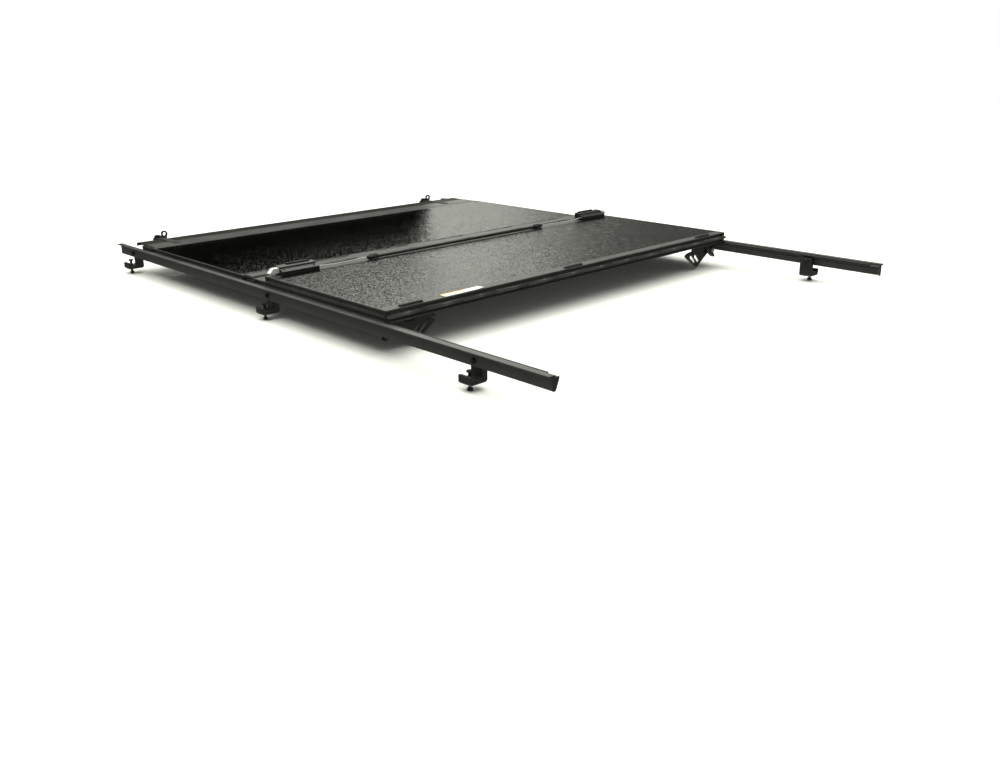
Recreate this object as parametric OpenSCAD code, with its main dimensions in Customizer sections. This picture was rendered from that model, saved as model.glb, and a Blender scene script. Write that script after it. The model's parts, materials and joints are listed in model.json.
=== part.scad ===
// Hard tri-fold bed cover for a full-size pickup with a 6.5 ft bed.
// Frame: origin at the centre of the header rail's rest face, +Y towards the cab,
// +X to the right-hand side, +Z up. Millimetres. Drawn half open: the rear panel
// is folded over onto the middle panel, so its underside faces up.

/* [Bed opening] */
// Width between the bed side caps
bed_width = 1540; // [1500:2:1580]
// Front end of the side rails, from the header centre
rail_front = 197; // [150:1:230]
// Rear end of the side rails
rail_rear = -1894; // [-1900:1:-1892]

/* [Panels] */
// Panel width over its side extrusions
panel_width = 1500; // [1460:2:1500]
// Panel thickness
panel_thick = 16; // [16:1:16]
// Height of the underside of the front and middle panels
panel_z = -2; // [-2:1:-2]
// Front edge of the front panel
front_y = -39; // [-45:1:-38]
// Front panel length
front_len = 598; // [560:1:600]
// Middle panel length
mid_len = 627; // [600:1:640]
// Rear panel length
rear_len = 562; // [520:1:570]
// Skin thickness
skin_thick = 1.2; // [0.8:0.1:1.4]

/* [Hinges] */
// Distance between the two hinge lines of the front link
link_pitch = 50; // [46:1:54]
// Hinge pin radius
pin_radius = 2.0; // [1.6:0.1:2.2]
// Knuckle outer radius
knuckle_radius = 4.2; // [4:0.1:4.3]
// Radial running clearance on the pins
pin_clear = 0.05; // [0.03:0.01:0.08]
// Number of knuckles along each hinge
knuckle_count = 12; // [8:1:16]

/* [Latches] */
// Release cable radius
cable_radius = 1.25; // [1:0.25:1.5]
// Conduit radius
conduit_radius = 5.2; // [5:0.1:5.6]

/* [Mid clamps] */
// Thickness of the slotted lever plate
lever_thick = 4.4; // [4:0.2:6]

/* [Hidden] */
$fn = 48;
gap = 0.05;                     // between faces that would otherwise touch
panel_side = panel_width / 2;
bed_side = bed_width / 2;

// hinge lines and panel faces, from front to rear
hinge_out = 5;                  // hinge axis beyond the panel's outer face
axis_z = panel_z + panel_thick + 0.5;
front_back = front_y - front_len;
hinge_a = front_back - hinge_out;
hinge_b = hinge_a - link_pitch;
mid_front = hinge_b - hinge_out;
mid_back = mid_front - mid_len;
hinge_c = mid_back - hinge_out;
fold_z = axis_z + 0.5;          // lower face of the folded rear panel
fold_top = fold_z + panel_thick;
tail_y = mid_back + rear_len;   // free edge of the rear panel, folded

// A panel is [rear face y, front face y, underside z, flanges of its rear rail,
// flanges of its front rail]; flanges are [lower width, upper width].
REAR = 0;
FRONT = 1;
BASE = 2;
FLANGES = 3;
LOWER = 0;
UPPER = 1;
front_panel = [front_back, front_y, panel_z, [30, 18], [30, 20]];
mid_panel = [mid_back, mid_front, panel_z, [30, 20], [30, 60]];
rear_panel = [mid_back, tail_y, fold_z, [20, 32], [20, 40]];

ALU = [0.10, 0.10, 0.11];
SKIN = [0.07, 0.07, 0.07];
RUBBER = [0.03, 0.03, 0.03];

// ---------- helpers ----------
// Extrude a (y, z) outline along X between x0 and x1.
module along_x(x0, x1) {
  translate([x0, 0, 0]) rotate([90, 0, 90]) linear_extrude(height = x1 - x0) children();
}
// Extrude an (x, z) outline along Y between y0 and y1 (y0 < y1).
module along_y(y0, y1) {
  translate([0, y1, 0]) rotate([90, 0, 0]) linear_extrude(height = y1 - y0) children();
}
// Extrude a (y, z) outline across the panel, stopping short of both sides.
module across_panel(inset) {
  along_x(inset - panel_side, panel_side - inset) children();
}
module both_sides() {
  children();
  mirror([1, 0, 0]) children();
}
// Box from its x, y and z spans; a span may run either way.
module box(x, y, z) {
  translate([min(x), min(y), min(z)])
    cube([abs(x[1] - x[0]), abs(y[1] - y[0]), abs(z[1] - z[0])]);
}
// Rods that run towards +X and +Y from a start point.
module x_rod(start, radius, length) {
  translate(start) rotate([0, 90, 0]) cylinder(r = radius, h = length);
}
module y_rod(start, radius, length) {
  translate(start) rotate([-90, 0, 0]) cylinder(r = radius, h = length);
}
// Move an outline to an origin; dir = -1 reverses its first column.
function place(points, origin, dir = 1) =
  [for (p = points) [origin[0] + dir * p[0], origin[1] + p[1]]];
// Outline given as [distance inboard of the right bed side cap, z].
function inboard(points) = place(points, [bed_side, 0], -1);

// ---------- bed frame ----------
rail_cap_len = 2.9;
rail_end_gap = 0.1;             // between a rail and its end cap
clamp_y = [100, -780, -1650];
clamp_bolt_z = -22;
clamp_bolt_radius = 4;
clamp_hole_radius = 4.2;
clamp_hex = 6.5;                // half the width across flats

// [inboard, z]
side_rail_outline = [[0, 0], [0, -3], [13, -3], [13, -36], [15.2, -36], [15.2, -29.5],
  [18, -29.5], [18, -19.5], [19, -18.8], [19, -17.2], [18, -16.5], [18, -8.5],
  [30, -8.5], [30, -5.5], [18, -5.5], [18, 0]];
rail_cap_outline = [[0, 0], [0, -3.4], [12.5, -3.4], [12.5, -36.5], [20, -36.5],
  [31, -10], [31, -5], [19, -5], [19, 0]];
rail_seal_outline = [[18.2, -5.45], [18.2, panel_z - gap], [31.4, panel_z - gap],
  [31.4, -9.6], [28.5, -9.6], [28.5, -8.55], [30.1, -8.55], [30.1, -5.45]];
clamp_outline = [[37, -12.5], [37, -68], [32, -73], [-14, -73], [-18, -69], [-18, -52],
  [-10, -52], [-10, -61], [20.8, -61], [20.8, -12.5]];
hold_down_outline = [[70, panel_z - gap], [32.5, panel_z - gap], [32.5, -10.4],
  [21, -10.4], [21, -15], [70, -15]];

module side_rail() {
  difference() {
    along_y(rail_rear + rail_cap_len + rail_end_gap, rail_front - rail_cap_len - rail_end_gap)
      polygon(inboard(side_rail_outline));
    for (y = clamp_y)
      x_rod([bed_side - 25, y, clamp_bolt_z], clamp_hole_radius, 20);
  }
}
module left_side_rail() { color(ALU) mirror([1, 0, 0]) side_rail(); }
module right_side_rail() { color(ALU) side_rail(); }
// wraps the rail's ledge and stops short of both rail ends
module rail_seal() {
  along_y(rail_rear + 32, -37) polygon(inboard(rail_seal_outline));
}
module left_rail_seal() { color(RUBBER) mirror([1, 0, 0]) rail_seal(); }
module right_rail_seal() { color(RUBBER) rail_seal(); }
module rail_end_caps() {
  color(RUBBER) both_sides() for (y = [rail_rear, rail_front - rail_cap_len])
    along_y(y, y + rail_cap_len) polygon(inboard(rail_cap_outline));
}

// two-cell box whose lower face is the rest face at z = 0
header_side = 738;
module header_rail() {
  color(ALU) along_x(-header_side, header_side) difference() {
    polygon([[-35, 0], [35, 0], [35, 10], [31, 14], [-33, 14], [-35, 12]]);
    polygon([[-33, 2], [-2, 2], [-2, 12], [-32, 12], [-33, 11]]);
    polygon([[1, 2], [33, 2], [33, 9.2], [30.2, 12], [1, 12]]);
  }
}
// plug in the header's rear cell and an end block with a screw hole
module header_corner_brackets() {
  color(RUBBER) both_sides() difference() {
    union() {
      box([header_side - 45, header_side + 1], [-32.6, -2.4], [2.3, 10.9]);
      box([header_side + 0.2, bed_side - 18.3], [-34, 34], [-5.4, 12]);
    }
    translate([header_side + 7, 20, -10]) cylinder(r = 2.6, h = 30);
  }
}
module bulkhead_seal() {
  color(RUBBER) along_x(-header_side, header_side)
    polygon([[35.1, 0.6], [35.1, 12.6], [38, 13.8], [96, 13.8], [108, 12], [114, 8],
      [116, 0.6], [105, 0.6], [99, 5], [90, 8.5], [50, 8.5], [44, 0.6]]);
}

// clamps that hold each side rail to the bed's inner flange
module rail_clamp_bodies() {
  color(RUBBER) both_sides() for (y = clamp_y) difference() {
    along_y(y - 20, y + 20) polygon(inboard(clamp_outline));
    x_rod([bed_side - 45, y, clamp_bolt_z], clamp_hole_radius, 30);
    translate([bed_side, y, -80]) cylinder(r = clamp_hole_radius, h = 25);
  }
}
module hex_prism(height) { cylinder(r = clamp_hex / cos(30), h = height, $fn = 6); }
// bolt with its head inboard and a nut behind the rail
module rail_clamp_bolts() {
  color("silver") both_sides() for (y = clamp_y)
    translate([bed_side - 43, y, clamp_bolt_z]) rotate([0, 90, 0]) {
      hex_prism(5.9);
      cylinder(r = clamp_bolt_radius, h = 38);
      translate([0, 0, 30.1]) hex_prism(5);
    }
}
// upright screw with a hex head below and a round pad on top
module rail_clamp_set_screws() {
  color("silver") both_sides() for (y = clamp_y) translate([bed_side, y, 0]) {
    translate([0, 0, -90]) hex_prism(6);
    translate([0, 0, -90]) cylinder(r = clamp_bolt_radius, h = 46);
    translate([0, 0, -46]) cylinder(r = 8, h = 4);
  }
}

// stow straps that hold the folded stack; they lie forward over the seal
ring_x = [-621, 621];
strap_shift = 24;               // strap centre to the left of its ring
strap_width = 25;
module stow_straps() {
  color(RUBBER) for (ring = ring_x) let (x = ring - strap_shift)
    along_x(x - strap_width / 2, x + strap_width / 2)
      polygon([[-20, 14.1], [100, 14.1], [110, 12.8], [117, 9], [122, 6.4], [136, 6.4],
        [136, 8.2], [123, 8.2], [118.5, 10.8], [111, 14.8], [101, 16], [-20, 16]]);
}
// cam buckle: a barrel that grips the strap, and an upright pull ring beside it
module stow_strap_buckles() {
  slot_half = strap_width / 2 + 0.3;
  barrel_half = strap_width / 2 + 3;
  ring_z = 24;
  hump = [[-39, 10], [-36, 20], [-31, 23], [-20, 22.5], [-12, 19], [-9, 10]];
  ring_foot = [[-14, 4], [6, 4], [9, 17], [-9, 17]];
  color(RUBBER) for (ring = ring_x) let (x = ring - strap_shift) difference() {
    union() {
      box([x - barrel_half, x + barrel_half], [124, 146], [3, 12]);
      along_y(130, 140) polygon(place(hump, [ring, 0]));
      along_y(131, 138) translate([ring, ring_z]) circle(r = 11.5);
      along_y(131, 138) polygon(place(ring_foot, [ring, 0]));
    }
    box([x - slot_half, x + slot_half], [120, 137], [6.1, 8.5]);
    y_rod([ring, 120, ring_z], 6.4, 30);
  }
}
// brackets that tie the front panel down under the rail ledge
module front_panel_hold_downs() {
  color(RUBBER) both_sides() for (y = [front_y - 60, front_back + 70])
    along_y(y - 20, y + 20) polygon(inboard(hold_down_outline));
}

// ---------- parts shared by the three panels ----------
flange_thick = 1.6;
web_depth = 8;                  // outer face to the back of an extrusion's web
cross_inset = 2;                // cross extrusion ends, from the panel side
skin_inset = 3.2;               // skin and flange ends, from the panel side

// +1 or -1: the Y direction that leads into the panel from one of its ends
function inward(end) = end == REAR ? 1 : -1;

// Edge extrusion outline [inwards from the outer face, height], with a groove
// in its outer face; lower and upper are the flange widths.
function edge_outline(lower, upper) = [[0, 0], [lower, 0], [lower, flange_thick],
  [web_depth, flange_thick], [web_depth, panel_thick - flange_thick],
  [upper, panel_thick - flange_thick], [upper, panel_thick], [0, panel_thick],
  [0, panel_thick - 3], [6, panel_thick - 3], [6, 3], [0, 3]];

// Cross extrusion at the rear or front end of a panel
module cross_rail(panel, end) {
  origin = [panel[end], panel[BASE]];
  flanges = panel[FLANGES + end];
  across_panel(skin_inset)
    polygon(place(edge_outline(flanges[LOWER], flanges[UPPER]), origin, inward(end)));
  across_panel(cross_inset)
    polygon(place(edge_outline(web_depth, web_depth), origin, inward(end)));
}
// Side extrusion; side = +1 right, -1 left
module panel_side_rail(panel, side) {
  color(ALU) along_y(panel[REAR] + web_depth + 0.1, panel[FRONT] - web_depth - 0.1)
    polygon(place(edge_outline(3, 3), [side * panel_side, panel[BASE]], -side));
}
// Skin sheet between the flange edges of the lower or upper face
module skin(panel, face) {
  z = panel[BASE] + (face == LOWER ? flange_thick - skin_thick : panel_thick - flange_thick);
  color(SKIN) box([skin_inset - panel_side, panel_side - skin_inset],
    [panel[REAR] + panel[FLANGES + REAR][face] + 0.2,
      panel[FRONT] - panel[FLANGES + FRONT][face] - 0.2],
    [z, z + skin_thick]);
}
// Foam core with pockets for the corner brackets
module core(panel) {
  side = panel_side - web_depth;
  base = panel[BASE];
  pocket_z = [base, base + panel_thick];
  pocket_depth = web_depth + 3.4;
  pocket_reach = 50;
  color("dimgray") difference() {
    box([0.1 - side, side - 0.1],
      [panel[REAR] + web_depth + 0.1, panel[FRONT] - web_depth - 0.1],
      [base + flange_thick, base + panel_thick - flange_thick]);
    both_sides() for (end = [REAR, FRONT]) {
      y = panel[end];
      dir = inward(end);
      box([panel_side - pocket_reach, side],
        [y + dir * web_depth, y + dir * pocket_depth], pocket_z);
      box([panel_side - pocket_depth, side],
        [y + dir * web_depth, y + dir * pocket_reach], pocket_z);
    }
  }
}
// Four L-shaped corner brackets behind the webs
module corner_brackets(panel) {
  outer = web_depth + 0.2;
  inner = outer + 3;
  reach = 48;
  // [inwards from the panel side, inwards from the panel end]
  corner = [[outer, outer], [reach, outer], [reach, inner], [inner, inner],
    [inner, reach], [outer, reach]];
  color(RUBBER) both_sides() for (end = [REAR, FRONT])
    translate([0, 0, panel[BASE] + 3]) linear_extrude(height = 10)
      polygon([for (p = corner) [panel_side - p[0], panel[end] + inward(end) * p[1]]]);
}
// Moulded end caps, each with a plug that fills the groove of a cross extrusion
module end_caps(panel) {
  top = panel_thick - 0.2;
  cap = [[0.2, 0.2], [7.9, 0.2], [7.9, top], [0.2, top]];
  plug = [[0.3, 3.8], [5.9, 3.8], [5.9, 12.2], [0.3, 12.2]];
  color(RUBBER) both_sides() for (end = [REAR, FRONT]) {
    origin = [panel[end], panel[BASE]];
    along_x(panel_side - 1.9, panel_side) polygon(place(cap, origin, inward(end)));
    along_x(panel_side - 16, panel_side - 1.8) polygon(place(plug, origin, inward(end)));
  }
}

// ---------- hinge parts ----------
arm_reach = hinge_out + 1;      // knuckle arm length in Y, from the axis
// Every other knuckle (parity 0 or 1), each with an arm to a rail or link
module knuckle_row(axis_y, parity, reach, arm_z0, arm_z1) {
  pitch = (panel_width - 2 * cross_inset) / knuckle_count;
  for (i = [0 : knuckle_count - 1]) if (i % 2 == parity) {
    x = cross_inset - panel_side + i * pitch;
    along_x(x + 0.5, x + pitch - 0.5) {
      translate([axis_y, axis_z]) circle(r = knuckle_radius);
      polygon([[axis_y, arm_z0], [axis_y + reach, arm_z0],
        [axis_y + reach, arm_z1], [axis_y, arm_z1]]);
    }
  }
}
module pin_bore(axis_y) {
  x_rod([-panel_side - 5, axis_y, axis_z], pin_radius + pin_clear, panel_width + 10);
}
module pin(axis_y) {
  x_rod([2.5 - panel_side, axis_y, axis_z], pin_radius, panel_width - 5);
}
// Cross extrusion with knuckles. The arms hang below the pin, or rise above it
// on the folded panel, which also takes the other set of knuckles.
module hinged_rail(panel, end, axis_y, folded = false) {
  arm_dir = folded ? 1 : -1;
  color(ALU) difference() {
    union() {
      cross_rail(panel, end);
      knuckle_row(axis_y, folded ? 1 : 0, inward(end) * arm_reach,
        axis_z + arm_dir * knuckle_radius, axis_z + arm_dir * 0.6);
    }
    pin_bore(axis_y);
  }
}

// ---------- front panel ----------
module front_panel_top_skin() { skin(front_panel, UPPER); }
module front_panel_bottom_skin() { skin(front_panel, LOWER); }
module front_panel_core() { core(front_panel); }
module front_panel_front_rail() { color(ALU) cross_rail(front_panel, FRONT); }
module front_panel_rear_rail() { hinged_rail(front_panel, REAR, hinge_a); }
module front_panel_left_rail() { panel_side_rail(front_panel, -1); }
module front_panel_right_rail() { panel_side_rail(front_panel, 1); }
module front_panel_corner_brackets() { corner_brackets(front_panel); }
module front_panel_end_caps() { end_caps(front_panel); }

// ---------- hinge link between the front and middle panels ----------
link_z = axis_z - 2.4;
link_top = axis_z + 3;
module hinge_link() {
  color(ALU) difference() {
    union() {
      across_panel(cross_inset) polygon([[hinge_a - 4.8, link_z],
        [hinge_a - 4.8, link_top - 0.8], [hinge_a - 5.6, link_top],
        [hinge_b + 5.6, link_top], [hinge_b + 4.8, link_top - 0.8],
        [hinge_b + 4.8, link_z]]);
      knuckle_row(hinge_a, 1, -arm_reach, link_z, link_top);
      knuckle_row(hinge_b, 1, arm_reach, link_z, link_top);
    }
    pin_bore(hinge_a);
    pin_bore(hinge_b);
  }
}
module hinge_link_gasket() {
  top = link_z - gap;
  color(RUBBER) across_panel(3) polygon([[hinge_a - 10, top], [hinge_b + 10, top],
    [hinge_b + 12, axis_z - 6], [hinge_b + 16, axis_z - 8.5],
    [hinge_a - 16, axis_z - 8.5], [hinge_a - 12, axis_z - 6]]);
}
module link_hinge_pins() {
  color("silver") {
    pin(hinge_a);
    pin(hinge_b);
  }
}

// ---------- middle panel ----------
module mid_panel_top_skin() { skin(mid_panel, UPPER); }
module mid_panel_bottom_skin() { skin(mid_panel, LOWER); }
module mid_panel_core() { core(mid_panel); }
module mid_panel_front_rail() { hinged_rail(mid_panel, FRONT, hinge_b); }
module mid_panel_rear_rail() { hinged_rail(mid_panel, REAR, hinge_c); }
module mid_panel_left_rail() { panel_side_rail(mid_panel, -1); }
module mid_panel_right_rail() { panel_side_rail(mid_panel, 1); }
module mid_panel_corner_brackets() { corner_brackets(mid_panel); }
module mid_panel_end_caps() { end_caps(mid_panel); }
module rear_hinge_pin() { color("silver") pin(hinge_c); }

// ---------- mid clamps, under the rear end of the middle panel ----------
pivot_x = 706;
pivot_y = mid_back + 33;        // also the centre plane of the lever
pivot_z = -26;
pivot_radius = 4;

// (x, z) outlines
cheek_outline = [[672, -5.5], [730, -5.5], [730, -24], [718, -40], [700, -44],
  [690, -38], [680, -22]];
paddle_outline = [[708, -17], [660, -17], [612, -20], [578, -25], [567, -29], [565, -35],
  [594, -55], [625, -79], [633, -81.5], [641, -79], [662, -64], [708, -34]];
rib_outline = [[707, -18.5], [660, -18], [612, -21], [580, -25.6], [574, -28.6],
  [575, -31.5], [610, -27.5], [660, -24], [707, -24]];
// from the pivot, before the nose is tilted down
nose_outline = [[0, -9], [30, -8], [43, -4.5], [43.5, -1], [40, 2.5], [28, 4], [0, 9]];

module pivot_bore() {
  y_rod([pivot_x, pivot_y - 30, pivot_z], pivot_radius + 0.05, 60);
}
// base plate, two cheeks around the lever and two bars inboard of them
module mid_clamp_brackets() {
  color(RUBBER) both_sides() difference() {
    union() {
      box([572, 730], [pivot_y - 26, pivot_y + 26], [-6, panel_z - gap]);
      for (y = [pivot_y - 13.5, pivot_y + 8.5]) along_y(y, y + 5) polygon(cheek_outline);
      for (y = [pivot_y - 22, pivot_y + 14]) box([580, 650], [y, y + 8], [-16, -5.5]);
    }
    pivot_bore();
  }
}
module mid_clamp_pivots() {
  color("silver") both_sides() {
    y_rod([pivot_x, pivot_y - 17, pivot_z], pivot_radius, 34);
    for (y = [pivot_y - 20, pivot_y + 13.6]) y_rod([pivot_x, y, pivot_z], 7, 3.4);
  }
}
// Round-ended slot outline between two end centres
module slot_2d(from, to, width) {
  run = to - from;
  angle = atan2(run[1], run[0]);
  polygon(concat(
    [for (k = [0:6]) from + width / 2 * [cos(angle + 90 + 30 * k), sin(angle + 90 + 30 * k)]],
    [for (k = [0:6]) to + width / 2 * [cos(angle - 90 + 30 * k), sin(angle - 90 + 30 * k)]]));
}
// hub on the pivot with an outboard nose, and a slotted paddle handle with a
// rib along its top edge
module clamp_lever() {
  difference() {
    union() {
      along_y(pivot_y - 7, pivot_y + 7) {
        translate([pivot_x, pivot_z]) circle(r = 13);
        translate([pivot_x, pivot_z]) rotate(-42) polygon(nose_outline);
      }
      along_y(pivot_y - lever_thick / 2, pivot_y + lever_thick / 2) polygon(paddle_outline);
      along_y(pivot_y - 5, pivot_y + 5) polygon(rib_outline);
    }
    pivot_bore();
    along_y(pivot_y - 20, pivot_y + 20) {
      slot_2d([598, -40], [621, -60], 11);
      slot_2d([624, -41], [644, -61], 11);
    }
  }
}
module mid_clamp_lever_left() { color(RUBBER) mirror([1, 0, 0]) clamp_lever(); }
module mid_clamp_lever_right() { color(RUBBER) clamp_lever(); }

// ---------- rear panel, folded over: its top skin is on the lower face ----------
module rear_panel_top_skin() { skin(rear_panel, LOWER); }
module rear_panel_bottom_skin() { skin(rear_panel, UPPER); }
module rear_panel_core() { core(rear_panel); }
module rear_panel_hinge_rail() { hinged_rail(rear_panel, REAR, hinge_c, folded = true); }
module rear_panel_tail_rail() { color(ALU) cross_rail(rear_panel, FRONT); }
module rear_panel_left_rail() { panel_side_rail(rear_panel, -1); }
module rear_panel_right_rail() { panel_side_rail(rear_panel, 1); }
module rear_panel_corner_brackets() { corner_brackets(rear_panel); }
module rear_panel_end_caps() { end_caps(rear_panel); }
// bulb seal held in the groove of the tail extrusion
module tailgate_seal() {
  color(RUBBER) across_panel(17) translate([tail_y, fold_z])
    polygon([[-5.8, 3.2], [0.1, 3.2], [0.1, 2], [3, 2], [4.6, 4], [5, 8], [4.6, 12],
      [3, 14], [0.1, 14], [0.1, 12.8], [-5.8, 12.8]]);
}

// ---------- slam latches on the underside of the tail extrusion ----------
housing_x0 = 592;
housing_x1 = 716;
bolt_y = tail_y - 16;           // bolt centre line
bolt_x = 660;                   // inboard end of the bolt
bolt_tip = 746.5;
bolt_z = fold_top + 7.2;
bolt_top = bolt_z + 14;
lug_y = tail_y - 39;            // rear face of the bolt's lug
lug_height = 5.5;
cable_y = tail_y - 33;
cable_z = fold_top + 9.8;
cable_end = 665;                // cable end, left and right
conduit_z = fold_top + 7.2;
clip_left = -385;
clip_right = 350;

// [y from the tail edge, z from the panel face]
housing_outline = [[-45, gap], [-45, 12.4], [-44, 13.4], [-26, 19], [-26, 22.6],
  [-25, 23.2], [-3, 25.4], [-1, 23.5], [-1, gap]];

module latch_housings() {
  color(RUBBER) both_sides() difference() {
    union() {
      along_x(housing_x0, housing_x1) polygon(place(housing_outline, [tail_y, fold_top]));
      box([housing_x0 + 12, housing_x0 + 90], [tail_y - 10, tail_y - 3.5],
        [fold_top + 23, fold_top + 29]);
    }
    box([640, housing_x1 + 5], [bolt_y - 8.1, bolt_y + 8.1], [bolt_z - 0.1, bolt_top + 0.1]);
    box([640, 702], [lug_y - 0.1, bolt_y], [bolt_z - 0.1, bolt_z + lug_height + 0.1]);
    x_rod([housing_x0 - 5, cable_y, cable_z], 2, 60);
  }
}
// sprung tongue with a side lug that takes the cable end
module latch_bolt() {
  difference() {
    union() {
      along_y(bolt_y - 8, bolt_y + 8) polygon([[bolt_x, bolt_z], [bolt_tip, bolt_z],
        [bolt_tip, bolt_z + 2], [bolt_tip - 12, bolt_top], [bolt_x, bolt_top]]);
      box([bolt_x, bolt_x + 40], [lug_y, bolt_y], [bolt_z, bolt_z + lug_height]);
    }
    x_rod([bolt_x - 5, cable_y, cable_z], 1.6, 30);
  }
}
module latch_bolt_left() { color("silver") mirror([1, 0, 0]) latch_bolt(); }
module latch_bolt_right() { color("silver") latch_bolt(); }
// Coil spring around the X axis that starts at x0
module coil(x0, length, coil_radius, wire_radius, turns) {
  steps = turns * 12;
  sides = 6;                    // facets around the wire
  points = [for (i = [0 : steps]) for (j = [0 : sides - 1])
    let (turn = 360 * turns * i / steps, around = 360 * j / sides,
      radius = coil_radius + wire_radius * cos(around))
    [x0 + wire_radius + (length - 2 * wire_radius) * i / steps + wire_radius * sin(around),
      radius * cos(turn), radius * sin(turn)]];
  walls = [for (i = [0 : steps - 1]) for (j = [0 : sides - 1]) let (k = (j + 1) % sides)
    [i * sides + j, (i + 1) * sides + j, (i + 1) * sides + k, i * sides + k]];
  start_face = [for (j = [0 : sides - 1]) j];
  end_face = [for (j = [sides - 1 : -1 : 0]) steps * sides + j];
  polyhedron(points = points, faces = concat(walls, [start_face], [end_face]),
    convexity = 10);
}
module latch_spring() {
  translate([0, cable_y, cable_z])
    coil(x0 = 640.6, length = 18.8, coil_radius = 2.05, wire_radius = 0.4, turns = 8);
}
module latch_spring_left() { color("silver") mirror([1, 0, 0]) latch_spring(); }
module latch_spring_right() { color("silver") latch_spring(); }
module release_cable() {
  color("silver") x_rod([-cable_end, cable_y, cable_z], cable_radius, 2 * cable_end, $fn = 24);
}
module cable_conduit() {
  span = clip_right - clip_left;
  color(RUBBER) difference() {
    x_rod([clip_left - 19, cable_y, conduit_z], conduit_radius, span + 38);
    x_rod([clip_left - 25, cable_y, cable_z], cable_radius + 0.35, span + 50);
  }
}
// flat base with a saddle over the conduit
module conduit_clips() {
  cut_z = conduit_z - 40;
  color(RUBBER) for (x = [clip_left, clip_right]) difference() {
    union() {
      box([x - 15, x + 15], [cable_y - 14, cable_y + 14], [fold_top + gap, fold_top + 2.4]);
      along_x(x - 12, x + 12) difference() {
        translate([cable_y, conduit_z]) circle(r = conduit_radius + 2.2);
        translate([cable_y - 20, cut_z]) square([40, fold_top + 1 - cut_z]);
      }
    }
    x_rod([x - 30, cable_y, conduit_z], conduit_radius + 0.1, 60);
  }
}

// ---------- rubber bumpers and a blank label on the hinge-side flange ----------
module hinge_bumpers() {
  outline = [[4, gap], [4, 4], [6, 6], [12, 6], [14, 4], [14, gap]];
  color(RUBBER) for (x = [-663, -42, 625])
    along_x(x - 38, x + 38) polygon(place(outline, [mid_back, fold_top]));
}
module info_label() {
  color("white")
    box([-549, -408], [mid_back + 4, mid_back + 30], [fold_top + gap, fold_top + 0.4]);
}

left_side_rail();
right_side_rail();
left_rail_seal();
right_rail_seal();
rail_end_caps();
header_rail();
header_corner_brackets();
bulkhead_seal();
rail_clamp_bodies();
rail_clamp_bolts();
rail_clamp_set_screws();
stow_straps();
stow_strap_buckles();
front_panel_hold_downs();
front_panel_top_skin();
front_panel_bottom_skin();
front_panel_core();
front_panel_front_rail();
front_panel_rear_rail();
front_panel_left_rail();
front_panel_right_rail();
front_panel_corner_brackets();
front_panel_end_caps();
hinge_link();
hinge_link_gasket();
link_hinge_pins();
mid_panel_top_skin();
mid_panel_bottom_skin();
mid_panel_core();
mid_panel_front_rail();
mid_panel_rear_rail();
mid_panel_left_rail();
mid_panel_right_rail();
mid_panel_corner_brackets();
mid_panel_end_caps();
rear_hinge_pin();
mid_clamp_brackets();
mid_clamp_pivots();
mid_clamp_lever_left();
mid_clamp_lever_right();
rear_panel_top_skin();
rear_panel_bottom_skin();
rear_panel_core();
rear_panel_hinge_rail();
rear_panel_tail_rail();
rear_panel_left_rail();
rear_panel_right_rail();
rear_panel_corner_brackets();
rear_panel_end_caps();
tailgate_seal();
latch_housings();
latch_bolt_left();
latch_bolt_right();
latch_spring_left();
latch_spring_right();
release_cable();
cable_conduit();
conduit_clips();
hinge_bumpers();
info_label();
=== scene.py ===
# Folding black bed cover with its rails, seals, straps, latches and release cable.
# Metres. X runs across the bed, centred on x = 0; Y runs along it, with the bulkhead
# seal on the +Y side of the header; Z is up. The camera looks on from -X and -Y.
import bpy
import bmesh
import json
import math
import random
from mathutils import Matrix, Vector, noise


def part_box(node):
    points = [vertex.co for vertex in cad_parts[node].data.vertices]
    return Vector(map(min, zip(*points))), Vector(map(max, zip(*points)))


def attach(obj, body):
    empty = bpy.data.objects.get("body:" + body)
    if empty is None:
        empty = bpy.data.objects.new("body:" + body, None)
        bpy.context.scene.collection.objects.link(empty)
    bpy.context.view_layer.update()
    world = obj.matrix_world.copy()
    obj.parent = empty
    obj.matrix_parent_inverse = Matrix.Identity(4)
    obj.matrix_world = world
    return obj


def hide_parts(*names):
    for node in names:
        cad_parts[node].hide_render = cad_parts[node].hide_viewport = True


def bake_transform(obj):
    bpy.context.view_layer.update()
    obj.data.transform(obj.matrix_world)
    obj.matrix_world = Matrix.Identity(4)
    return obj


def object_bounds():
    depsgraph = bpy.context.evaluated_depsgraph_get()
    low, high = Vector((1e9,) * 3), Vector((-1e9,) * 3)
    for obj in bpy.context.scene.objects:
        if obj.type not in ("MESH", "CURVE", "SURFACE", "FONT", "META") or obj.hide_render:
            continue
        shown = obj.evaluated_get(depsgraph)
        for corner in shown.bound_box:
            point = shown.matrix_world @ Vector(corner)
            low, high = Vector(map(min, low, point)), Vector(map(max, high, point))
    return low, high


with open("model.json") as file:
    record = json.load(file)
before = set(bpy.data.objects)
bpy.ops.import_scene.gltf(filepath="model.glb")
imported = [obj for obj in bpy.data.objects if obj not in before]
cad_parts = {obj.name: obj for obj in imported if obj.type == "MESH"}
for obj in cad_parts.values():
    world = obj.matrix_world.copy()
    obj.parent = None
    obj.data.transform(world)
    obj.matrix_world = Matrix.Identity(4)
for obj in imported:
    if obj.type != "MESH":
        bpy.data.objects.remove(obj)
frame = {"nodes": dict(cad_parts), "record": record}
CAD_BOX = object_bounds()
NODES = frame["nodes"]
random.seed(458)

MM = 0.001
SIDES = (-1, 1)             # -X side, +X side
LATCH_INNER_X = 0.592       # |x| of the inner end of each latch housing
CONDUIT_INSET = 0.012       # from each end of the conduit to the end of the bare cable


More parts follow.
